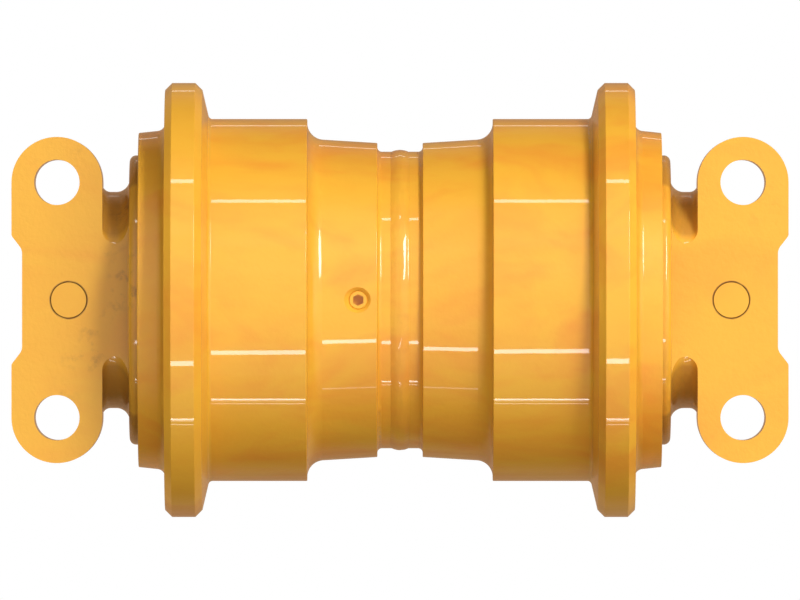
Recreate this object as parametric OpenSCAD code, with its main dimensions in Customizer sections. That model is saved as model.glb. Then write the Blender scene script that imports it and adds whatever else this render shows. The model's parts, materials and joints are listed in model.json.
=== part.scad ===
// Track roller with two outer flanges, for the underside of a crawler tractor.
// The roller turns about the Y axis. The end collars' mounting seats face up, along +Z.
// "Left" is +Y and "right" is -Y. The origin is the middle of the roller's axis.

/* [Roller shell] */
// Diameter of the two treads that the track links run on
tread_d = 216; // [202:1:260]
// Width of one tread, from its inner edge to the root of its flange
tread_w = 58.5; // [49:0.1:71]
// Distance between the inner edges of the two treads
tread_gap = 110.6; // [92:0.1:133]
// Height of a flange above its tread
flange_h = 21.5; // [17:0.5:26]
// Width of a flange at its root
flange_root_w = 26.3; // [24:0.1:33]
// Slope of a flange's inner face, in degrees
flange_slope = 13.2; // [6:0.1:18]
// Chamfer along both edges of a flange's rim
rim_chamfer = 4.2; // [2:0.1:6]
// Radius at the root of a flange, on the tread
flange_root_r = 2.5; // [1:0.1:4]
// Length of the shoulder outside a flange
shoulder_l = 15.8; // [12:0.1:19]
// How far the shoulder's end lies below the tread
shoulder_drop = 8.3; // [6:0.1:12]
// Draft of the shoulder, in degrees
shoulder_draft = 6; // [0:0.5:8]
// Radius where the shoulder meets the flange
shoulder_root_r = 5; // [1:0.1:6]
// How far the waist lies below the tread, at the weld groove
waist_drop = 14.3; // [10:0.1:18]
// Slope of the waist towards the treads, in degrees
waist_slope = 3.5; // [1:0.1:6]
// Radius where the waist meets the end of a tread
waist_r = 10; // [4:0.1:12]
// Radius worked onto the shell's outer edges
edge_r = 0.6; // [0.3:0.1:1.5]

/* [Weld between the shell halves] */
// Width of the groove that the weld lies in
groove_w = 27; // [22:0.5:33]
// Depth of that groove below the waist
groove_depth = 5.2; // [4:0.1:7]
// Radius in the groove's corners
groove_r = 2.7; // [1:0.1:3.5]
// Width of the weld bead
weld_w = 11; // [8:0.5:14]
// Height of the bead above the groove
weld_crown = 1.4; // [0.8:0.1:2.5]
// Depth of the weld below the groove
weld_depth = 14.5; // [8:0.5:18]

/* [Filler plug] */
// Outside diameter of the plug
plug_d = 11.4; // [9:0.1:16]
// Length of the plug
plug_l = 14; // [10:0.5:18]
// Width across the flats of the plug's socket
plug_socket_af = 6; // [4:0.5:7.5]
// Distance of the plug from the middle of the shell
plug_from_middle = 24.8; // [22:0.1:30]
// Diameter of the countersink around the plug
countersink_d = 15.8; // [13:0.1:19]
// Depth of the plug's face below the waist
plug_recess = 2.4; // [0.5:0.1:3.5]
// Diameter of the oil passage under the plug
oil_way_d = 8; // [5:0.5:10]

/* [Shaft and bushings] */
// Diameter of the shaft
shaft_d = 76; // [64:1:92]
// Height of the step that leads up to the shaft's thicker middle
shaft_step = 4; // [1:0.5:5]
// Radial running clearance between shaft and bushing
journal_clearance = 0.06; // [0.02:0.01:0.1]
// Wall of a bushing
bushing_wall = 6; // [5:0.5:8]
// Length of a bushing's sleeve
bushing_l = 67; // [56:1:80]
// Height of a bushing's thrust flange above its sleeve
thrust_h = 10; // [6:0.5:12]
// Thickness of a bushing's thrust flange
thrust_t = 7; // [5:0.5:9]
// Oil film at each thrust face
end_float = 0.4; // [0.2:0.05:0.6]
// Depth of the oil chamber's wall beyond the bushing's seat
chamber_h = 8; // [4:0.5:12]

/* [Face seals] */
// Height of one metal seal ring
ring_h = 12; // [10:0.5:14]
// Thickness of the rim that carries the face
ring_rim_t = 3.2; // [2:0.1:4]
// Wall of the ring behind that rim
ring_wall = 4.5; // [3:0.1:5.5]
// Room between the collar's nose and the metal ring
ring_room = 4; // [2:0.1:5]
// Section diameter of a rubber toric ring
toric_d = 8.6; // [8:0.1:9.5]
// Slope of the ramps that squeeze the toric ring, in degrees
ramp_slope = 8; // [4:0.5:10]
// Room for the toric ring between the two ramps
ramp_room = 7.2; // [6.5:0.1:8]
// Gap between the ring's rim and the wall of its housing
rim_gap = 1.2; // [0.6:0.1:2]
// Gap between shell and collar at the mouth of the seal
mouth_gap = 3; // [2:0.1:5]
// Oil film between the two metal faces
face_film = 0.05; // [0.02:0.01:0.1]

/* [Shell lip around the collar] */
// Depth of the recess that takes the collar's disc
lip_depth = 17.4; // [15:0.1:21]
// Wall of the lip around the disc
lip_wall = 11.6; // [8:0.1:13]
// Radial gap between lip and disc
lip_gap = 1.8; // [0.8:0.1:3]

/* [End collars] */
// How far the collar's disc stands out of the shell
disc_proud = 5.3; // [3:0.1:8]
// Radius on the disc's outer edge
disc_edge_r = 3.8; // [2:0.1:4.5]
// Length of the neck between disc and ears
neck_l = 15.8; // [14.5:0.1:19]
// Diameter of the neck
neck_d = 129; // [122:1:140]
// Radius where the neck meets the disc
neck_disc_r = 8; // [4:0.5:9]
// Radius where the neck meets the hub
neck_hub_r = 5; // [3.6:0.1:5.5]
// Height of the hub above the neck
hub_step = 3.5; // [2:0.1:3.5]
// Height of the mounting seat above the roller's axis
seat_h = 55; // [50:1:60]
// Thickness of an ear, down from the seat
ear_t = 65; // [54:1:74]
// Radius of an ear's rounded end
ear_r = 27; // [24:0.5:33]
// Radius where an ear's inner side meets the collar
ear_inner_r = 8; // [4:0.5:9]
// Radius on an ear's lower edge
ear_edge_r = 5; // [2:0.5:7]
// Distance of the collar's end face from the bolt centres
end_from_bolts = 20.7; // [17:0.1:24]
// Half the width of the recess in the collar's end, between the ears
recess_half_w = 30; // [24:0.5:32]
// Width of the slope on each side of that recess
recess_slope_w = 8.2; // [7:0.1:11]

/* [Bolts and retaining pins] */
// Diameter of a mounting bolt hole
bolt_hole_d = 27; // [22:0.5:33]
// Distance between the two bolt holes of one collar
bolt_spacing = 140; // [134:1:160]
// Radius of the clearance for a bolt's head under the ear
bolt_head_r = 23.5; // [20:0.5:25]
// Diameter of a retaining pin
pin_d = 22; // [18:0.5:27]
// Distance of the pin from the bolt centres, towards the roller
pin_from_bolts = 7; // [4:0.5:9]
// Depth of the pin's ends below the collar's surface
pin_recess = 0.3; // [0.1:0.1:2]
// Width of the gap around a pin's ends
pin_relief_w = 0.5; // [0.3:0.1:1]
// Depth of that gap
pin_relief_h = 3; // [1:0.5:5]
// Depth of the shaft's ends below the collar's end face
shaft_recess = 2; // [1:0.1:4]
// Chamfer at the shaft's ends
shaft_chamfer = 2.5; // [1:0.1:4]

/* [Shaft seals] */
// Section diameter of the O-ring between shaft and collar
o_ring_d = 5.3; // [4:0.1:6.5]
// Distance of the O-ring from the collar's inner end
o_ring_from_nose = 22; // [16:0.5:28]

/* [Hidden] */

$fn = 96;
left = 1;
right = -1;

// How far a cutting shape runs past what it cuts.
over = 1;
// How far a rounding arc bites past the lines that it rounds, so that they cross.
bite = 0.002;

// Radii of the shell's outside.
tread_rad = tread_d / 2;
flange_rad = tread_rad + flange_h;
shell_end_rad = tread_rad - shoulder_drop;
waist_rad = tread_rad - waist_drop;
groove_rad = waist_rad - groove_depth;
weld_root_rad = groove_rad - weld_depth;

// Distances from the middle of the shell, along its axis.
tread_start = tread_gap / 2;
flange_start = tread_start + tread_w;
flange_end = flange_start + flange_root_w;
shell_end = flange_end + shoulder_l;
seal_mouth = shell_end - lip_depth;
seal_plane = seal_mouth + mouth_gap / 2;
ring_back_room = 1;
housing_depth = ring_h - mouth_gap / 2 + ring_back_room;
housing_floor = seal_mouth - housing_depth;
ring_base = seal_plane - face_film / 2 - ring_h;
floor_height = housing_floor - ring_base;
mouth_height = seal_mouth - ring_base;
thrust_step = 1;
thrust_face = housing_floor - thrust_step;
bushing_seat = thrust_face - thrust_t;
bushing_end = bushing_seat - bushing_l;
chamber_end = bushing_end - 1;
disc_face = shell_end + disc_proud;
ear_start = disc_face + neck_l;
bolt_line = ear_start + ear_r;
collar_end = bolt_line + end_from_bolts;
pin_line = bolt_line - pin_from_bolts;
shaft_end = collar_end - shaft_recess;
nose_end = thrust_face + end_float;
o_ring_line = nose_end + o_ring_from_nose;

// The O-ring's groove is shallower than the ring is thick, which squeezes the ring against the
// shaft, and wider, which leaves the ring room to spread.
o_ring_squeeze = 0.15;
o_ring_room = 0.3;
o_ring_depth = o_ring_d * (1 - o_ring_squeeze);
o_ring_groove_w = o_ring_d * (1 + o_ring_room);

// Radii from the shaft outwards.
shaft_rad = shaft_d / 2;
bushing_bore_rad = shaft_rad + journal_clearance;
bushing_rad = shaft_rad + bushing_wall;
thrust_rad = bushing_rad + thrust_h;
thrust_room = 1;
chamber_rad = bushing_rad + chamber_h;
nose_rad = thrust_rad;
ring_bore_rad = nose_rad + ring_room;
ring_rim_rad = ring_bore_rad + ring_wall;
ring_face_rad = ring_rim_rad + ramp_room - rim_gap;
lip_rad = shell_end_rad - lip_wall;
disc_rad = lip_rad - lip_gap;
neck_rad = neck_d / 2;
hub_rad = neck_rad + hub_step;
ear_bottom = seat_h - ear_t;

// Radius of the metal ring's ramp, and of its housing's, at a height above the ring's back.
function ring_ramp(height) = ring_rim_rad - (ring_h - ring_rim_t - height) * tan(ramp_slope);
function housing_ramp(height) = ring_ramp(height) + ramp_room;

// Radius of the waist at a distance from the middle of the shell.
function waist_at(u) = waist_rad + (u - groove_w / 2) * tan(waist_slope);

// Turn of a closed outline of [x, y, radius] points at point i: positive where it bulges.
function before(points, i) = points[(i + len(points) - 1) % len(points)];
function after(points, i) = points[(i + 1) % len(points)];
function flat(p) = [p[0], p[1]];
function turn(points, i) =
    cross(flat(points[i]) - flat(before(points, i)), flat(after(points, i)) - flat(points[i]));

// The web between corner i of an outline and the arc that rounds it.
module corner_web(points, i) {
    corner = flat(points[i]);
    r = points[i][2];
    back = flat(before(points, i)) - corner;
    on = flat(after(points, i)) - corner;
    back_dir = back / norm(back);
    on_dir = on / norm(on);
    middle = (back_dir + on_dir) / norm(back_dir + on_dir);
    half_angle = acos(back_dir * on_dir) / 2;
    run = r / tan(half_angle);
    past_corner = r / 4;
    centre = corner + middle * r / sin(half_angle);
    difference() {
        polygon([corner + run * back_dir, centre, corner + run * on_dir, corner - past_corner * middle]);
        translate(centre) circle(r + bite);
    }
}

// A closed anticlockwise outline of [x, y, radius] points, with a true arc at each rounded corner.
module rounded_outline(points) {
    rounded = [for (i = [0 : len(points) - 1]) if (points[i][2] > 0) i];
    difference() {
        union() {
            polygon([for (p = points) flat(p)]);
            for (i = rounded)
                if (turn(points, i) < 0)
                    corner_web(points, i);
        }
        for (i = rounded)
            if (turn(points, i) > 0)
                corner_web(points, i);
    }
}

// Turns a profile of [radius, distance from the middle] about the roller's axis.
module turned() {
    rotate([-90, 0, 0]) rotate_extrude() children();
}

// Puts a left-hand piece on one side of the roller.
module on_side(side) {
    mirror([0, side == left ? 0 : 1, 0]) children();
}

// Puts a seal piece made with its back at 0 into place: face outwards on the shell, inwards on the collar.
module on_shell() {
    translate([0, ring_base, 0]) children();
}
module on_collar() {
    translate([0, 2 * seal_plane - ring_base, 0]) mirror([0, 1, 0]) children();
}

// Shell half without the plug's hole.
module shell_half() {
    rim_start = flange_start + (flange_h - rim_chamfer) * tan(flange_slope);
    turned() rounded_outline([
        [weld_root_rad, 0, 0],
        [groove_rad, weld_w / 2, 0],
        [groove_rad, groove_w / 2, groove_r],
        [waist_rad, groove_w / 2, edge_r],
        [waist_at(tread_start), tread_start, waist_r],
        [tread_rad, tread_start, edge_r],
        [tread_rad, flange_start, flange_root_r],
        [flange_rad - rim_chamfer, rim_start, edge_r],
        [flange_rad, rim_start + rim_chamfer, edge_r],
        [flange_rad, flange_end - rim_chamfer, edge_r],
        [flange_rad - rim_chamfer, flange_end, edge_r],
        [shell_end_rad + shoulder_l * tan(shoulder_draft), flange_end, shoulder_root_r],
        [shell_end_rad, shell_end, edge_r],
        [lip_rad, shell_end, edge_r],
        [lip_rad, seal_mouth, 0],
        [housing_ramp(mouth_height), seal_mouth, 0],
        [housing_ramp(floor_height), housing_floor, 0],
        [thrust_rad + thrust_room, housing_floor, 0],
        [thrust_rad + thrust_room, bushing_seat, 0],
        [bushing_rad, bushing_seat, 0],
        [bushing_rad, chamber_end, 0],
        [chamber_rad, chamber_end - chamber_h, 0],
        [chamber_rad, 0, 0]
    ]);
}

// The plug's seat, its countersink and the oil passage below, drilled straight down through the shell.
module plug_hole() {
    surface = waist_at(plug_from_middle);
    sink = (countersink_d - plug_d) / 2;
    translate([0, plug_from_middle, 0]) {
        translate([0, 0, surface - plug_recess - plug_l])
            cylinder(d = plug_d, h = plug_l + plug_recess + over);
        translate([0, 0, surface - plug_recess])
            cylinder(d1 = plug_d, d2 = countersink_d + 2 * sink * over / plug_recess, h = plug_recess + over);
        translate([0, 0, shaft_rad]) cylinder(d = oil_way_d, h = surface - shaft_rad);
    }
}

module roller_shell_left() {
    color("goldenrod") difference() {
        shell_half();
        plug_hole();
    }
}

module roller_shell_right() {
    color("goldenrod") on_side(right) shell_half();
}

// Weld that fills the V between the halves and stands up in the groove as a bead.
module weld_seam() {
    toe = 0.4;
    half_w = weld_w / 2;
    bead_half_w = half_w - toe;
    crown_rad = (bead_half_w * bead_half_w + weld_crown * weld_crown) / (2 * weld_crown);
    color("darkgoldenrod") turned() union() {
        polygon([[weld_root_rad, 0], [groove_rad, -half_w], [groove_rad, half_w]]);
        intersection() {
            translate([groove_rad + weld_crown - crown_rad, 0]) circle(crown_rad);
            translate([groove_rad, -half_w]) square([weld_crown + over, weld_w]);
        }
    }
}

// Taper plug with a hexagon socket.
module filler_plug() {
    top = waist_at(plug_from_middle) - plug_recess;
    socket_depth = plug_l / 2;
    top_chamfer = 0.7;
    color("goldenrod") translate([0, plug_from_middle, top - plug_l]) difference() {
        union() {
            cylinder(d = plug_d, h = plug_l - top_chamfer);
            translate([0, 0, plug_l - top_chamfer])
                cylinder(d1 = plug_d, d2 = plug_d - 2 * top_chamfer, h = top_chamfer);
        }
        translate([0, 0, plug_l - socket_depth])
            cylinder(d = plug_socket_af / cos(30), h = socket_depth + over, $fn = 6);
    }
}

// Steel-backed bronze bushing with its thrust flange outwards and three oil grooves along its bore.
module bushing() {
    groove_d = 5;
    groove_count = 3;
    color("peru") difference() {
        turned() polygon([
            [bushing_bore_rad, bushing_end],
            [bushing_rad, bushing_end],
            [bushing_rad, bushing_seat],
            [thrust_rad, bushing_seat],
            [thrust_rad, thrust_face],
            [bushing_bore_rad, thrust_face]
        ]);
        for (i = [0 : groove_count - 1])
            rotate([0, 360 * i / groove_count, 0]) translate([bushing_bore_rad, bushing_end - over, 0])
                rotate([-90, 0, 0]) cylinder(d = groove_d, h = thrust_face - bushing_end + 2 * over);
    }
}

// Metal seal ring, with its back at 0 and its lapped face at ring_h.
module seal_ring() {
    color("silver") turned() polygon([
        [ring_bore_rad, 0],
        [ring_ramp(0), 0],
        [ring_ramp(ring_h - ring_rim_t), ring_h - ring_rim_t],
        [ring_face_rad, ring_h - ring_rim_t],
        [ring_face_rad, ring_h],
        [ring_bore_rad, ring_h]
    ]);
}

// Rubber ring squeezed between the metal ring's ramp and its housing's.
module toric_ring() {
    middle = (ring_h - ring_rim_t) / 2;
    color("dimgray") turned() intersection() {
        translate([(ring_ramp(middle) + housing_ramp(middle)) / 2, middle]) circle(d = toric_d);
        polygon([
            [ring_ramp(0), 0],
            [housing_ramp(0), 0],
            [housing_ramp(ring_h - ring_rim_t), ring_h - ring_rim_t],
            [ring_ramp(ring_h - ring_rim_t), ring_h - ring_rim_t]
        ]);
    }
}

// Shaft with a thicker middle, chamfered ends, centre drillings and a cross hole for each pin.
module shaft() {
    middle_l = bushing_end - end_float;
    centre_d = 8;
    color("silver") difference() {
        turned() polygon([
            [0, -shaft_end],
            [shaft_rad - shaft_chamfer, -shaft_end],
            [shaft_rad, shaft_chamfer - shaft_end],
            [shaft_rad, -middle_l],
            [shaft_rad + shaft_step, shaft_step - middle_l],
            [shaft_rad + shaft_step, middle_l - shaft_step],
            [shaft_rad, middle_l],
            [shaft_rad, shaft_end - shaft_chamfer],
            [shaft_rad - shaft_chamfer, shaft_end],
            [0, shaft_end]
        ]);
        for (side = [left, right]) on_side(side) {
            pin_bore();
            translate([0, shaft_end + over / 2, 0]) rotate([90, 0, 0])
                cylinder(d1 = centre_d + over, d2 = 0, h = centre_d);
        }
    }
}

// Cross hole through collar and shaft.
module pin_bore() {
    translate([0, pin_line, 0]) cylinder(d = pin_d, h = 2 * hub_rad + 2 * over, center = true);
}

// Plan of a collar's ears and of the pad between them, seen from above: [across, along the axis].
module pad_plan() {
    across = bolt_spacing / 2;
    pad_half_w = sqrt(neck_rad * neck_rad - seat_h * seat_h);
    outer = bolt_line + ear_r;
    recess_top = recess_half_w + recess_slope_w;
    slope_foot_r = 7;
    slope_head_r = 3;
    rounded_outline([
        [-pad_half_w, disc_face - disc_edge_r, 0],
        [pad_half_w, disc_face - disc_edge_r, 0],
        [pad_half_w, ear_start, ear_inner_r],
        [across, ear_start, 0],
        [across, outer, 0],
        [recess_top, outer, slope_head_r],
        [recess_half_w, collar_end, slope_foot_r],
        [-recess_half_w, collar_end, slope_foot_r],
        [-recess_top, outer, slope_head_r],
        [-across, outer, 0],
        [-across, ear_start, 0],
        [-pad_half_w, ear_start, ear_inner_r]
    ]);
    for (x = [-across, across]) translate([x, bolt_line]) circle(ear_r);
}

// Section through the ears, seen along the axis: [across, up].
module ear_section() {
    reach = bolt_spacing / 2 + ear_r;
    rounded_outline([
        [-reach, ear_bottom, ear_edge_r],
        [reach, ear_bottom, ear_edge_r],
        [reach, seat_h, 0],
        [-reach, seat_h, 0]
    ]);
}

// Disc, nose, neck and hub of a collar, before its bores, turned about the axis.
module collar_turning() {
    disc_back = seal_mouth + mouth_gap;
    turned() rounded_outline([
        [0, nose_end, 0],
        [nose_rad, nose_end, 0],
        [nose_rad, disc_back, 0],
        [disc_rad, disc_back, edge_r],
        [disc_rad, disc_face, disc_edge_r],
        [neck_rad, disc_face, neck_disc_r],
        [neck_rad, ear_start + edge_r, neck_hub_r],
        [hub_rad + neck_hub_r, ear_start + edge_r, 0],
        [hub_rad + neck_hub_r, collar_end, 0],
        [0, collar_end, 0]
    ]);
}

// Forged collar: a bored hub with a flat seat on top and an ear with a bolt hole at each side.
module end_collar() {
    color("goldenrod") difference() {
        union() {
            difference() {
                intersection() {
                    collar_turning();
                    turned() rounded_outline([
                        [0, nose_end - over, 0],
                        [disc_rad + over, nose_end - over, 0],
                        [disc_rad + over, disc_face + neck_disc_r, 0],
                        [hub_rad, disc_face + neck_disc_r, 0],
                        [hub_rad, collar_end, edge_r],
                        [0, collar_end, 0]
                    ]);
                }
                translate([-hub_rad - over, disc_face, seat_h])
                    cube([2 * (hub_rad + over), collar_end - disc_face + over, hub_rad]);
            }
            intersection() {
                translate([0, 0, ear_bottom - over]) linear_extrude(height = ear_t + 2 * over) pad_plan();
                translate([0, bolt_line + ear_r + over, 0]) rotate([90, 0, 0])
                    linear_extrude(height = 2 * ear_r + neck_l + over) ear_section();
            }
        }
        collar_bores();
        for (side = [left, right]) translate([side * bolt_spacing / 2, bolt_line, 0]) {
            translate([0, 0, ear_bottom - over]) cylinder(d = bolt_hole_d, h = ear_t + 2 * over);
            translate([0, 0, -hub_rad - over]) cylinder(r = bolt_head_r, h = hub_rad + over + ear_bottom);
        }
    }
}

// Shaft bore with its O-ring groove, seal housing and pin hole of a collar.
module collar_bores() {
    disc_back = seal_mouth + mouth_gap;
    housing_back = disc_back + housing_depth;
    turned() {
        polygon([
            [0, nose_end - over],
            [shaft_rad, nose_end - over],
            [shaft_rad, bolt_line + ear_r + over],
            [0, bolt_line + ear_r + over]
        ]);
        translate([0, o_ring_line - o_ring_groove_w / 2]) square([shaft_rad + o_ring_depth, o_ring_groove_w]);
        polygon([
            [nose_rad, disc_back - over],
            [housing_ramp(mouth_height + over), disc_back - over],
            [housing_ramp(floor_height), housing_back],
            [nose_rad, housing_back]
        ]);
    }
    pin_bore();
}

// O-ring flattened between the shaft and the bottom of its groove.
module shaft_o_ring() {
    color("dimgray") turned() intersection() {
        translate([shaft_rad + o_ring_depth / 2, o_ring_line]) circle(d = o_ring_d);
        translate([shaft_rad, o_ring_line - o_ring_d]) square([o_ring_depth, 2 * o_ring_d]);
    }
}

// Pin that holds collar and shaft together, turned down a little at each end.
module retaining_pin() {
    top = seat_h - pin_recess;
    bottom = pin_recess - sqrt(hub_rad * hub_rad - pin_d * pin_d / 4);
    end_rad = pin_d / 2 - pin_relief_w;
    relief_end = pin_relief_h + pin_relief_w;
    color("goldenrod") translate([0, pin_line, 0]) rotate_extrude() polygon([
        [0, bottom],
        [end_rad, bottom],
        [end_rad, bottom + pin_relief_h],
        [pin_d / 2, bottom + relief_end],
        [pin_d / 2, top - relief_end],
        [end_rad, top - pin_relief_h],
        [end_rad, top],
        [0, top]
    ]);
}

shaft();
roller_shell_left();
roller_shell_right();
weld_seam();
filler_plug();
on_side(left) bushing();  // bushing_left
on_side(right) bushing();  // bushing_right
on_side(left) on_shell() seal_ring();  // turning_seal_ring_left
on_side(right) on_shell() seal_ring();  // turning_seal_ring_right
on_side(left) on_shell() toric_ring();  // turning_toric_ring_left
on_side(right) on_shell() toric_ring();  // turning_toric_ring_right
on_side(left) on_collar() seal_ring();  // fixed_seal_ring_left
on_side(right) on_collar() seal_ring();  // fixed_seal_ring_right
on_side(left) on_collar() toric_ring();  // fixed_toric_ring_left
on_side(right) on_collar() toric_ring();  // fixed_toric_ring_right
on_side(left) end_collar();  // end_collar_left
on_side(right) end_collar();  // end_collar_right
on_side(left) shaft_o_ring();  // shaft_o_ring_left
on_side(right) shaft_o_ring();  // shaft_o_ring_right
on_side(left) retaining_pin();  // retaining_pin_left
on_side(right) retaining_pin();  // retaining_pin_right
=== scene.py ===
import json
import math

import bmesh
import bpy
from mathutils import Matrix, Vector, noise


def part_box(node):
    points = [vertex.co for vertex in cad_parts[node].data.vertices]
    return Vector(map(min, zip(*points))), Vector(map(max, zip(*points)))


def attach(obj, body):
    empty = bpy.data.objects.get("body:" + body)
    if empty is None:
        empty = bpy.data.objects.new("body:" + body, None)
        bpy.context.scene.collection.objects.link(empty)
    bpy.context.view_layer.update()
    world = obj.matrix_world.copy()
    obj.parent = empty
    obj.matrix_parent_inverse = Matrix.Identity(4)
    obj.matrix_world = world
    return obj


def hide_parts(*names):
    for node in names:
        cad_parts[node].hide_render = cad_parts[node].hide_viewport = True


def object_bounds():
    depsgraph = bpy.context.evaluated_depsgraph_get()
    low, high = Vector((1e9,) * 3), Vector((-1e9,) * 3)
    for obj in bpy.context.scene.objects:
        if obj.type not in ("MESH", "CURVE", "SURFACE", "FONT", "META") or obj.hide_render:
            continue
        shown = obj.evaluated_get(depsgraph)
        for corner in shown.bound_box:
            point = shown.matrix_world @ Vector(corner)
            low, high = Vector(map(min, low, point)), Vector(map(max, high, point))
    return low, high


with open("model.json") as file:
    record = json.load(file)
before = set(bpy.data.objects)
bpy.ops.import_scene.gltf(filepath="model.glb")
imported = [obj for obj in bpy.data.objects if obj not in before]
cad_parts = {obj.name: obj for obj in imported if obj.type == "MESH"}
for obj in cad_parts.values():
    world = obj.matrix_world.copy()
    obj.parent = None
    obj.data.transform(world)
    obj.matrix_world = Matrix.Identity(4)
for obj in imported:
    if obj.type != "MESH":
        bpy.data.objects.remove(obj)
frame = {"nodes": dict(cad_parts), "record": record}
cad_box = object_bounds()
nodes = frame["nodes"]

MM = 0.001

# The weld between the shell halves, which the rippled bead stands for.
WELD_CROWN = 1.4 * MM
WELD_DEPTH = 14.5 * MM
WELD_TOE = 0.5 * MM

# Wrinkles of the bead: the room kept for them under the crown, their height, length and spacing, and how
# far and over what length the bead sways to the side.
WRINKLE_ROOM = 0.3 * MM
WRINKLE_H = 0.22 * MM
WRINKLE_L = 11 * MM
WRINKLE_GAP = 2.5 * MM
SWAY = 0.45 * MM
SWAY_L = 9 * MM
BEAD_STEPS_AROUND = 720
BEAD_STEPS_OVER = 16


# ---------------------------------------------------------------- node helpers

def new_group(name, inputs, outputs):
    """An empty shader group with named sockets, and its input and output nodes."""
    group = bpy.data.node_groups.new(name, "ShaderNodeTree")
    for label, kind, value in inputs:
        socket = group.interface.new_socket(label, in_out="INPUT", socket_type=kind)
        socket.default_value = value
    for label, kind in outputs:
        group.interface.new_socket(label, in_out="OUTPUT", socket_type=kind)
    start = group.nodes.new("NodeGroupInput")
    end = group.nodes.new("NodeGroupOutput")
    return group, start, end


def add(tree, kind, **settings):
    node = tree.nodes.new(kind)
    for key, value in settings.items():
        setattr(node, key, value)
    return node


def noise_texture(tree, vector, scale, detail, rough=0.5, distortion=0.0):
    node = add(tree, "ShaderNodeTexNoise")
    node.inputs["Scale"].default_value = scale
    node.inputs["Detail"].default_value = detail
    node.inputs["Roughness"].default_value = rough
    node.inputs["Distortion"].default_value = distortion
    tree.links.new(vector, node.inputs["Vector"])
    return node.outputs["Fac"]


def spread(tree, value, low, high, to_low=0.0, to_high=1.0):
    """Maps the range low..high of a value to to_low..to_high, clamped."""
    node = add(tree, "ShaderNodeMapRange", clamp=True)
    tree.links.new(value, node.inputs["Value"])
    for key, number in (("From Min", low), ("From Max", high), ("To Min", to_low), ("To Max", to_high)):
        node.inputs[key].default_value = number
    return node.outputs["Result"]


def maths(tree, operation, first, second):
    node = add(tree, "ShaderNodeMath", operation=operation)
    for slot, value in zip(node.inputs, (first, second)):
        if isinstance(value, (int, float)):
            slot.default_value = value
        else:
            tree.links.new(value, slot)
    return node.outputs["Value"]


def mix_colour(tree, factor, first, second, blend="MIX"):
    node = add(tree, "ShaderNodeMix", data_type="RGBA", blend_type=blend)
    slots = (node.inputs["Factor"], node.inputs["A"], node.inputs["B"])
    for slot, value in zip(slots, (factor, first, second)):
        if isinstance(value, (int, float, tuple)):
            slot.default_value = value
        else:
            tree.links.new(value, slot)
    return node.outputs["Result"]


# ---------------------------------------------------------------- shared effects

def paint_coat():
    """Sprayed paint: soft patches of colour, a wavy film and fine grit."""
    group, start, end = new_group(
        "sprayed_paint",
        [("Vector", "NodeSocketVector", (0, 0, 0)), ("Thick", "NodeSocketColor", (1, 1, 1, 1)),
         ("Thin", "NodeSocketColor", (1, 1, 1, 1)), ("Patches", "NodeSocketFloat", 1.0),
         ("Casting", "NodeSocketFloat", 0.0)],
        [("Color", "NodeSocketColor"), ("Roughness", "NodeSocketFloat"), ("Height", "NodeSocketFloat")],
    )
    vector = start.outputs["Vector"]
    drawn = add(group, "ShaderNodeVectorMath", operation="MULTIPLY")
    drawn.inputs[1].default_value = (1.0, 0.5, 1.0)
    group.links.new(vector, drawn.inputs[0])
    drawn = drawn.outputs["Vector"]
    broad = spread(group, noise_texture(group, drawn, 22.0, 3.0, 0.55, 0.8), 0.44, 0.66)
    small = spread(group, noise_texture(group, drawn, 80.0, 3.0, 0.6), 0.45, 0.75)
    share = maths(group, "ADD", maths(group, "MULTIPLY", broad, 0.62), maths(group, "MULTIPLY", small, 0.18))
    share = maths(group, "MULTIPLY", share, start.outputs["Patches"])
    colour = mix_colour(group, share, start.outputs["Thick"], start.outputs["Thin"])
    group.links.new(colour, end.inputs["Color"])
    rough = spread(group, noise_texture(group, vector, 90.0, 3.0), 0.3, 0.7, 0.28, 0.38)
    group.links.new(rough, end.inputs["Roughness"])
    film = maths(group, "MULTIPLY", noise_texture(group, vector, 55.0, 1.5), 0.25)
    grit = maths(group, "MULTIPLY", noise_texture(group, vector, 330.0, 2.0), 0.24)
    cast = maths(group, "MULTIPLY", noise_texture(group, vector, 210.0, 4.0, 0.6), start.outputs["Casting"])
    height = maths(group, "ADD", maths(group, "ADD", film, grit), cast)
    group.links.new(height, end.inputs["Height"])
    return group


def smudges_and_shade():
    """Rubbed dirt: scattered soft dark marks, over an even darkening of a fifth of the amount that is painted
    shade.
    """
    group, start, end = new_group(
        "smudges_and_shade",
        [("Vector", "NodeSocketVector", (0, 0, 0)), ("Color", "NodeSocketColor", (1, 1, 1, 1)),
         ("Dirt_and_shade", "NodeSocketColor", (0.1, 0.06, 0.03, 1)), ("Amount", "NodeSocketFloat", 0.3)],
        [("Color", "NodeSocketColor")],
    )
    vector = start.outputs["Vector"]
    wide = spread(group, noise_texture(group, vector, 26.0, 2.0), 0.52, 0.68)
    marks = spread(group, noise_texture(group, vector, 130.0, 5.0, 0.65), 0.50, 0.72)
    # the even share darkens the whole surface as painted shade; the scattered marks are dirt
    marked = maths(group, "ADD", maths(group, "MULTIPLY", maths(group, "MULTIPLY", wide, marks), 0.8), 0.2)
    mask = maths(group, "MULTIPLY", marked, start.outputs["Amount"])
    colour = mix_colour(group, mask, start.outputs["Color"], start.outputs["Dirt_and_shade"])
    group.links.new(colour, end.inputs["Color"])
    return group


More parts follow.
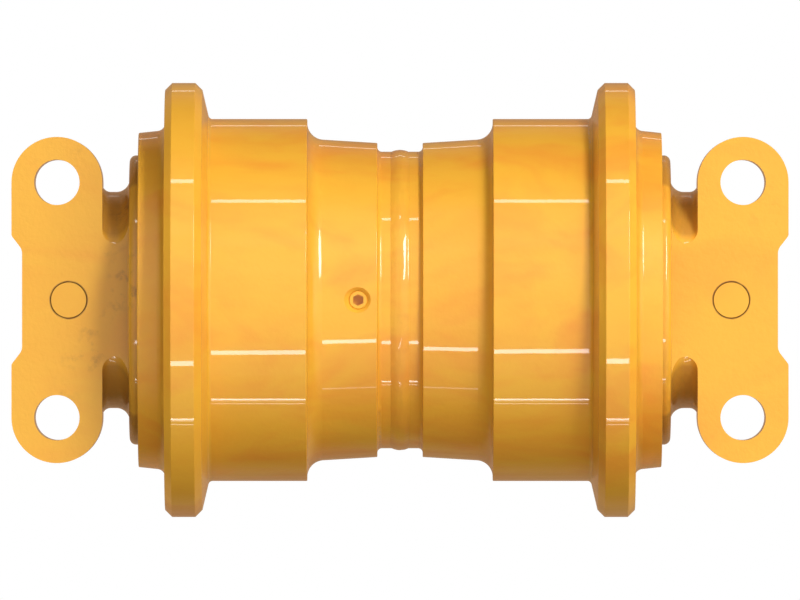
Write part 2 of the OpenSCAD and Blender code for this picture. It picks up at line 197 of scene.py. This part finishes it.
def joint_grime_and_shade():
    """Dirt and painted shade in the joint round a pin that stands along Z: a mask by distance from the pin's
    centre line.
    """
    group, start, end = new_group(
        "joint_grime_and_shade",
        [("Vector", "NodeSocketVector", (0, 0, 0)), ("Color", "NodeSocketColor", (1, 1, 1, 1)),
         ("Dirt_and_shade", "NodeSocketColor", (0.1, 0.06, 0.03, 1)), ("Centre", "NodeSocketVector", (0, 0, 0)),
         ("Radius", "NodeSocketFloat", 0.011)],
        [("Color", "NodeSocketColor")],
    )
    offset = add(group, "ShaderNodeVectorMath", operation="SUBTRACT")
    group.links.new(start.outputs["Vector"], offset.inputs[0])
    group.links.new(start.outputs["Centre"], offset.inputs[1])
    flat = add(group, "ShaderNodeVectorMath", operation="MULTIPLY")
    flat.inputs[1].default_value = (1, 1, 0)
    group.links.new(offset.outputs["Vector"], flat.inputs[0])
    reach = add(group, "ShaderNodeVectorMath", operation="LENGTH")
    group.links.new(flat.outputs["Vector"], reach.inputs[0])
    away = maths(group, "SUBTRACT", reach.outputs["Value"], start.outputs["Radius"])
    away = maths(group, "ABSOLUTE", away, 0.0)
    # a dark ring at the gap round the pin: grime, and painted shade of the gap
    ring = spread(group, away, 0.15 * MM, 0.8 * MM, 0.85, 0.0)
    broken = spread(group, noise_texture(group, start.outputs["Vector"], 160.0, 3.0), 0.30, 0.60, 0.45, 1.0)
    mask = maths(group, "MULTIPLY", ring, broken)
    colour = mix_colour(group, mask, start.outputs["Color"], start.outputs["Dirt_and_shade"])
    group.links.new(colour, end.inputs["Color"])
    return group


PAINT = paint_coat()
SMUDGES_AND_SHADE = smudges_and_shade()
JOINT_GRIME_AND_SHADE = joint_grime_and_shade()
THICK = (0.88, 0.445, 0.041, 1.0)
THIN = (0.85, 0.310, 0.034, 1.0)
GRIME_AND_SHADE = (0.16, 0.060, 0.015, 1.0)
RAW_AND_SHADED = (0.36, 0.150, 0.030, 1.0)
PAINT_RELIEF = 0.6 * MM
# How the marks of turning are stretched: fine along the roller's axis and long around it.
TURNED = (0.1, 4.0, 0.1)


def new_material(name):
    material = bpy.data.materials.new(name)
    material.use_nodes = True
    tree = material.node_tree
    shader = tree.nodes["Principled BSDF"]
    place = add(tree, "ShaderNodeTexCoord").outputs["Object"]
    return material, tree, shader, place


def paint(name, patches=1.0, casting=0.0, dirt_and_shade=0.0, dirt_and_shade_near=None, pin=None, raw_and_shaded_below=None):
    """Glossy paint. Dirt and painted shade fade out between the two distances along the axis given with the
    dirt, if they are given.

    pin is the centre and radius of a pin whose joint is dark with grime and painted shade. Below the height
    given last, the paint lies thin and dull over the forging and is darkened further as painted shade.
    """
    material, tree, shader, place = new_material(name)
    coat = add(tree, "ShaderNodeGroup", node_tree=PAINT)
    coat.inputs["Thick"].default_value = THICK
    coat.inputs["Thin"].default_value = THIN
    coat.inputs["Patches"].default_value = patches
    coat.inputs["Casting"].default_value = casting
    tree.links.new(place, coat.inputs["Vector"])
    colour = coat.outputs["Color"]
    # below the seat the necks are darkened: thin paint over the forging, and painted shade under the ears
    if raw_and_shaded_below is not None:
        level = add(tree, "ShaderNodeSeparateXYZ")
        tree.links.new(place, level.inputs["Vector"])
        depth = spread(tree, level.outputs["Z"], raw_and_shaded_below - 4 * MM, raw_and_shaded_below - 1 * MM, 0.55, 0.0)
        colour = mix_colour(tree, depth, colour, RAW_AND_SHADED)
    if dirt_and_shade:
        rub_and_shade = add(tree, "ShaderNodeGroup", node_tree=SMUDGES_AND_SHADE)
        rub_and_shade.inputs["Amount"].default_value = dirt_and_shade
        # strongest next to the roller, where the dirt also stands as a painted shadow of the flange
        if dirt_and_shade_near:
            split = add(tree, "ShaderNodeSeparateXYZ")
            tree.links.new(place, split.inputs["Vector"])
            fade = spread(tree, split.outputs["Y"], dirt_and_shade_near[0], dirt_and_shade_near[1], dirt_and_shade, dirt_and_shade * 0.2)
            tree.links.new(fade, rub_and_shade.inputs["Amount"])
        tree.links.new(place, rub_and_shade.inputs["Vector"])
        tree.links.new(colour, rub_and_shade.inputs["Color"])
        colour = rub_and_shade.outputs["Color"]
    if pin:
        centre, radius = pin
        joint = add(tree, "ShaderNodeGroup", node_tree=JOINT_GRIME_AND_SHADE)
        joint.inputs["Dirt_and_shade"].default_value = GRIME_AND_SHADE
        joint.inputs["Centre"].default_value = centre
        joint.inputs["Radius"].default_value = radius
        tree.links.new(place, joint.inputs["Vector"])
        tree.links.new(colour, joint.inputs["Color"])
        colour = joint.outputs["Color"]
    tree.links.new(colour, shader.inputs["Base Color"])
    tree.links.new(coat.outputs["Roughness"], shader.inputs["Roughness"])
    lumps = add(tree, "ShaderNodeBump")
    lumps.inputs["Strength"].default_value = 1.0
    lumps.inputs["Distance"].default_value = PAINT_RELIEF
    tree.links.new(coat.outputs["Height"], lumps.inputs["Height"])
    tree.links.new(lumps.outputs["Normal"], shader.inputs["Normal"])
    shader.inputs["IOR"].default_value = 1.5
    shader.inputs["Specular IOR Level"].default_value = 0.08
    shader.inputs["Coat Weight"].default_value = 0.9
    shader.inputs["Coat Roughness"].default_value = 0.02
    return material


def metal(name, colour, low, high):
    """Ground or turned metal, with fine marks around the roller's axis."""
    material, tree, shader, place = new_material(name)
    turn = add(tree, "ShaderNodeMapping")
    turn.inputs["Scale"].default_value = TURNED
    tree.links.new(place, turn.inputs["Vector"])
    marks = noise_texture(tree, turn.outputs["Vector"], 900.0, 2.0)
    tree.links.new(spread(tree, marks, 0.3, 0.7, low, high), shader.inputs["Roughness"])
    shader.inputs["Base Color"].default_value = colour
    shader.inputs["Metallic"].default_value = 1.0
    return material


def shaft_steel(name, colour, painted_from):
    """Ground shaft whose ends were painted with the collars, from that distance along the axis outwards."""
    material, tree, shader, place = new_material(name)
    coat = add(tree, "ShaderNodeGroup", node_tree=PAINT)
    coat.inputs["Thick"].default_value = THICK
    coat.inputs["Thin"].default_value = THIN
    coat.inputs["Patches"].default_value = 0.5
    tree.links.new(place, coat.inputs["Vector"])
    split = add(tree, "ShaderNodeSeparateXYZ")
    tree.links.new(place, split.inputs["Vector"])
    reach = maths(tree, "ABSOLUTE", split.outputs["Y"], 0.0)
    painted = spread(tree, reach, painted_from, painted_from + 0.3 * MM)
    tree.links.new(mix_colour(tree, painted, colour, coat.outputs["Color"]), shader.inputs["Base Color"])
    tree.links.new(maths(tree, "SUBTRACT", 1.0, painted), shader.inputs["Metallic"])
    shader.inputs["Roughness"].default_value = 0.3
    return material


def rubber(name):
    material, tree, shader, place = new_material(name)
    bloom = spread(tree, noise_texture(tree, place, 120.0, 3.0), 0.4, 0.7)
    colour = mix_colour(tree, bloom, (0.012, 0.012, 0.012, 1), (0.03, 0.03, 0.029, 1))
    tree.links.new(colour, shader.inputs["Base Color"])
    shader.inputs["Roughness"].default_value = 0.6
    return material


MATERIALS = {
    "shell_paint": paint("shell_paint"),
    "weld_paint": paint("weld_paint", patches=1.2, casting=0.4, dirt_and_shade=0.2),
    "plug_paint": paint("plug_paint"),
    "ground_steel": shaft_steel("ground_steel", (0.46, 0.46, 0.47, 1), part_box("shaft")[1][1] - 3 * MM),
    "seal_steel": metal("seal_steel", (0.40, 0.40, 0.41, 1), 0.12, 0.25),
    "bushing_bronze": metal("bushing_bronze", (0.55, 0.33, 0.14, 1), 0.22, 0.38),
    "seal_rubber": rubber("seal_rubber"),
}


def pin_joint(side):
    """Centre and radius of the joint between a retaining pin and its collar."""
    low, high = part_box("retaining_pin_" + side)
    return (0, (low[1] + high[1]) / 2, 0), (high[0] - low[0]) / 2


# Each collar and pin has its own paint. The left collar's flat is rubbed dirty next to the roller and carries
# there a painted shadow of the flange, which the right one lacks.
collar_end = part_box("end_collar_left")[1][1]
seat_height = next(m["pos_m"][2] for m in frame["record"]["mounts"] if m["name"] == "seat_left")
RUBBED_AND_SHADED = (collar_end - 50 * MM, collar_end - 15 * MM)
for side, dirt_and_shade, near in (("left", 0.75, RUBBED_AND_SHADED), ("right", 0.12, None)):
    joint = pin_joint(side)
    MATERIALS["end_collar_" + side] = paint("collar_paint_" + side, patches=0.5, casting=0.6, dirt_and_shade=dirt_and_shade,
                                            dirt_and_shade_near=near, pin=joint, raw_and_shaded_below=seat_height)
    MATERIALS["retaining_pin_" + side] = paint("pin_paint_" + side, patches=0.5, dirt_and_shade=dirt_and_shade / 2, pin=joint)

for part in frame["record"]["subparts"]:
    piece = nodes[part["node"]]
    piece.data.materials.clear()
    piece.data.materials.append(MATERIALS.get(part["node"]) or MATERIALS[part["material_slot"]])


# ---------------------------------------------------------------- weld bead

def weld_bead():
    """The weld's V with a rippled crown, spun about the roller's axis."""
    low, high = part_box("weld_seam")
    crown_rad = high[0]
    surface_rad = crown_rad - WELD_CROWN
    half_w = high[1]
    bead_w = half_w - WELD_TOE
    mesh = bmesh.new()
    profile = [mesh.verts.new((surface_rad - WELD_DEPTH, 0, 0)), mesh.verts.new((surface_rad, -half_w, 0))]
    for i in range(BEAD_STEPS_OVER + 1):
        share = 2 * i / BEAD_STEPS_OVER - 1
        rise = (WELD_CROWN - WRINKLE_ROOM) * (1 - share * share)
        profile.append(mesh.verts.new((surface_rad + rise, share * bead_w, 0)))
    profile.append(mesh.verts.new((surface_rad, half_w, 0)))
    edges = [mesh.edges.new((a, b)) for a, b in zip(profile, profile[1:] + profile[:1])]
    bmesh.ops.spin(mesh, geom=profile + edges, cent=(0, 0, 0), axis=(0, 1, 0), angle=2 * math.pi,
                   steps=BEAD_STEPS_AROUND, use_merge=True)
    for vert in mesh.verts:
        radius = math.hypot(vert.co.x, vert.co.z)
        top = max(0.0, (radius - surface_rad) / WELD_CROWN)
        if top == 0.0:
            continue
        out = Vector((vert.co.x, 0, vert.co.z)) / radius
        # the wrinkles run long around the roller and close together across the bead
        lump = noise.noise(out * surface_rad / WRINKLE_L + Vector((0, vert.co.y / WRINKLE_GAP, 0)))
        sway = noise.noise(out * surface_rad / SWAY_L + Vector((5, 0, 0)))
        vert.co += out * (WRINKLE_H * lump * top)
        vert.co.y += SWAY * sway * top
    bmesh.ops.recalc_face_normals(mesh, faces=mesh.faces)
    for face in mesh.faces:
        face.smooth = True
    data = bpy.data.meshes.new("weld_bead")
    mesh.to_mesh(data)
    mesh.free()
    bead = bpy.data.objects.new("weld_bead", data)
    bpy.context.scene.collection.objects.link(bead)
    data.materials.append(MATERIALS["weld_paint"])
    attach(bead, "roller")
    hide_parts("weld_seam")


weld_bead()


# ---------------------------------------------------------------- stage, light and camera

FLOOR_RADIUS = 12.0
FLOOR_GAP = 0.5 * MM


def stage_floor():
    """A white disc just under the roller, which only the camera sees."""
    mesh = bmesh.new()
    bmesh.ops.create_circle(mesh, cap_ends=True, segments=64, radius=FLOOR_RADIUS,
                            matrix=Matrix.Translation((0, 0, cad_box[0].z - FLOOR_GAP)))
    data = bpy.data.meshes.new("floor")
    mesh.to_mesh(data)
    mesh.free()
    floor = bpy.data.objects.new("floor", data)
    bpy.context.scene.collection.objects.link(floor)
    material = bpy.data.materials.new("floor_white")
    material.use_nodes = True
    tree = material.node_tree
    tree.nodes.clear()
    glow = add(tree, "ShaderNodeEmission")
    glow.inputs["Color"].default_value = (1, 1, 1, 1)
    # clear from beneath, so that the roller's underside can be looked at
    choose = add(tree, "ShaderNodeMixShader")
    tree.links.new(add(tree, "ShaderNodeNewGeometry").outputs["Backfacing"], choose.inputs[0])
    tree.links.new(glow.outputs["Emission"], choose.inputs[1])
    tree.links.new(add(tree, "ShaderNodeBsdfTransparent").outputs[0], choose.inputs[2])
    end = add(tree, "ShaderNodeOutputMaterial")
    tree.links.new(choose.outputs[0], end.inputs["Surface"])
    data.materials.append(material)
    for name in ("visible_diffuse", "visible_glossy", "visible_transmission", "visible_shadow"):
        setattr(floor, name, False)


def sky():
    """White to the camera. To the object, soft light from above, warmer and darker below."""
    world = bpy.data.worlds.new("studio")
    bpy.context.scene.world = world
    world.use_nodes = True
    tree = world.node_tree
    tree.nodes.clear()
    place = add(tree, "ShaderNodeTexCoord").outputs["Generated"]
    split = add(tree, "ShaderNodeSeparateXYZ")
    tree.links.new(place, split.inputs["Vector"])
    up = spread(tree, split.outputs["Z"], 0.05, 0.79, 0.12, 1.21)
    side = spread(tree, split.outputs["X"], -0.9, 0.7, 0.67, 1.0)
    along = spread(tree, split.outputs["Y"], -1.0, 1.0, 1.25, 0.45)
    mottle = spread(tree, noise_texture(tree, place, 7.0, 2.0), 0.3, 0.7, 0.86, 1.10)
    below = spread(tree, split.outputs["Z"], -0.75, -0.55, 0.36, 0.0)
    shaped = maths(tree, "MULTIPLY", maths(tree, "MULTIPLY", up, side), along)
    level = maths(tree, "MULTIPLY", maths(tree, "ADD", shaped, below), mottle)
    height = spread(tree, split.outputs["Z"], -0.1, 0.4)
    soft = add(tree, "ShaderNodeBackground")
    tree.links.new(level, soft.inputs["Strength"])
    tree.links.new(mix_colour(tree, height, (1.0, 0.60, 0.34, 1), (1.0, 0.99, 0.97, 1)), soft.inputs["Color"])
    plain = add(tree, "ShaderNodeBackground")
    plain.inputs["Strength"].default_value = 1.0
    plain.inputs["Color"].default_value = (1, 1, 1, 1)
    ray = add(tree, "ShaderNodeLightPath")
    choose = add(tree, "ShaderNodeMixShader")
    tree.links.new(ray.outputs["Is Camera Ray"], choose.inputs[0])
    tree.links.new(soft.outputs[0], choose.inputs[1])
    tree.links.new(plain.outputs[0], choose.inputs[2])
    end = add(tree, "ShaderNodeOutputWorld")
    tree.links.new(choose.outputs[0], end.inputs["Surface"])


def lamp(name, place, distance, across, along, radiance, shape="RECTANGLE", slant=0.0):
    """An area light facing the origin. `along` is its size by the roller's axis, turned by slant degrees."""
    data = bpy.data.lights.new(name, "AREA")
    data.shape = shape
    data.size, data.size_y = across, along
    area = across * along * (math.pi / 4 if shape == "ELLIPSE" else 1.0)
    data.energy = radiance * area * math.pi
    light = bpy.data.objects.new(name, data)
    bpy.context.scene.collection.objects.link(light)
    out = Vector(place).normalized()
    light.location = out * distance
    # its own -Z looks at the origin, and its own Y lies by the roller's axis before the slant
    guide = Vector((1, 0, 0)) if abs(out.y) > 0.99 else Vector((0, 1, 0))
    sideways = guide.cross(out).normalized()
    facing = Matrix((sideways, out.cross(sideways), out)).transposed()
    light.rotation_euler = (facing @ Matrix.Rotation(math.radians(slant), 3, "Z")).to_euler()
    light.visible_camera = False
    return light


STRIP_DISTANCE = 8.0


def strip(name, tilt, width, radiance, left=0.15, right=0.15, slant=0.0):
    """A long light, `width` degrees wide, mirrored where the paint leans by tilt / 2.

    It reaches `left` and `right` of the middle, as shares of its distance.
    """
    angle = math.radians(tilt)
    place = (math.sin(angle), (left - right) / 2, math.cos(angle))
    lamp(name, place, STRIP_DISTANCE, STRIP_DISTANCE * math.radians(width), STRIP_DISTANCE * (left + right),
         radiance, slant=slant)


def reflect_once(light):
    """Leaves the light out of reflections of reflections, such as between flange and tread."""
    light.data.use_nodes = True
    tree = light.data.node_tree
    depth = add(tree, "ShaderNodeLightPath").outputs["Glossy Depth"]
    tree.links.new(maths(tree, "LESS_THAN", depth, 1.5), tree.nodes["Emission"].inputs["Strength"])


def studio():
    sky()
    reflect_once(lamp("key", (0.52, -0.42, 0.745), 3.0, 1.85, 0.6, 20.0, "ELLIPSE"))
    lamp("side", (0.1, -1.0, 0.55), 3.0, 1.6, 1.6, 0.4)
    for name, way in (("end_left", 1), ("end_right", -1)):
        # low enough to miss the drafted shoulders' upper sides
        end_light = lamp(name, (0.0, way, -0.35), 2.0, 0.8, 0.8, 9.0, "ELLIPSE")
        end_light.visible_glossy = False
    strip("strip_upper", 65.6, 2.3, 8.0, left=0.06, right=0.06)
    strip("strip_lower", -33.0, 2.5, 11.0, left=0.18, right=0.18, slant=24.0)
    strip("strip_low", -66.0, 1.0, 14.0, left=0.06, right=0.06)
    strip("strip_low_faint", -67.0, 1.0, 3.0, left=0.18, right=0.18)
    strip("strip_lowest", -69.2, 0.6, 6.0, left=0.06, right=0.06)
    strip("strip_behind", 147.4, 1.0, 2.5)


# The camera stands square above the seats, and its picture spans this width at the roller's axis.
CAMERA_DISTANCE = 14.7
PICTURE_WIDTH = 477.36 * MM
SENSOR_WIDTH = 36.0


def camera():
    data = bpy.data.cameras.new("camera")
    data.sensor_width = SENSOR_WIDTH
    data.lens = SENSOR_WIDTH * CAMERA_DISTANCE / PICTURE_WIDTH
    data.clip_start, data.clip_end = 1.0, 30.0
    eye = bpy.data.objects.new("camera", data)
    bpy.context.scene.collection.objects.link(eye)
    eye.location = (0, 0, CAMERA_DISTANCE)
    eye.rotation_euler = (0, 0, math.radians(-90))
    bpy.context.scene.camera = eye


stage_floor()
studio()
camera()
bpy.context.scene.view_settings.view_transform = "Standard"
bpy.context.scene.view_settings.look = "None"
